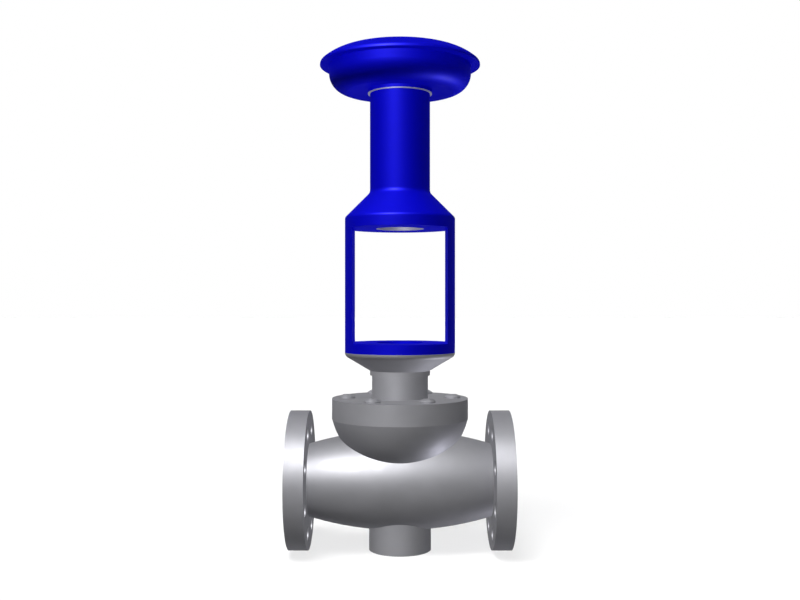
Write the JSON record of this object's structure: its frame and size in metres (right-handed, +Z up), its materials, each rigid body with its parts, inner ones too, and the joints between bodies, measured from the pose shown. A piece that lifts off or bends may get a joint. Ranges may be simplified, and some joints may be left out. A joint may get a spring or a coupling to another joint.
{
  "type": "control valve",
  "caption": "Flanged globe valve with a windowed yoke, a spring barrel and a round diaphragm casing, which throttles the flow in a pipe under an air signal.",
  "frame": {"origin": "centre of the round foot under the body, where the valve stands", "axes": "+Z up the stem, +X along the pipe towards the outlet"},
  "size_m": [0.35, 0.2556, 0.8087],
  "materials": {
    "blue_enamel": "smooth gloss enamel",
    "cast_steel": "satin grey, finely cast and dressed",
    "stainless": "ground",
    "bolt_steel": "plain machined",
    "liner_steel": "turned",
    "spring_steel": "oiled spring steel",
    "bronze": "machined",
    "graphite": "pressed graphite",
    "gasket": "pressed sheet",
    "rubber": "fabric-backed rubber"
  },
  "bodies": {
    "housing": {"valve_body": "cast_steel", "drain_plug": "bolt_steel", "seat_ring": "stainless", "seat_ring_gasket": "gasket", "bonnet": "cast_steel", "bonnet_gasket": "gasket", "bonnet_bolts": "bolt_steel", "stem_bush": "bronze", "packing_rings": "graphite", "packing_follower": "stainless", "gland_nut": "bolt_steel", "yoke_adapter": "cast_steel", "yoke_nut": "bolt_steel", "yoke": "blue_enamel", "barrel_liner": "liner_steel", "retaining_ring": "spring_steel", "guide_tube": "liner_steel", "guide_bush": "bronze", "return_spring": "spring_steel", "diaphragm": "rubber", "lower_casing": "blue_enamel", "casing_screws": "bolt_steel", "upper_casing": "blue_enamel", "vent_plug": "bronze"},
    "actuator": {"actuator_stem": "stainless", "diaphragm_plate": "liner_steel", "clamp_plate": "liner_steel", "stem_nut": "bolt_steel"},
    "connector": {"stem_connector": "bolt_steel", "connector_screws": "bolt_steel"},
    "plug": {"valve_plug": "stainless", "valve_stem": "stainless", "plug_pin": "stainless"}
  },
  "joints": [
    {"name": "actuator_travel", "type": "slide", "parent": "housing", "child": "actuator", "axis": [0, 0, -1], "range_m": [0, 0.03], "stiffness_N_per_m": 11200, "springref_m": -0.02, "deforming": ["return_spring", "diaphragm"]},
    {"name": "connector_travel", "type": "slide", "parent": "actuator", "child": "connector", "axis": [0, 0, -1], "range_m": [0, 0.176]},
    {"name": "plug_travel", "type": "slide", "parent": "housing", "child": "plug", "axis": [0, 0, 1], "range_m": [0, 0.03]}
  ]
}
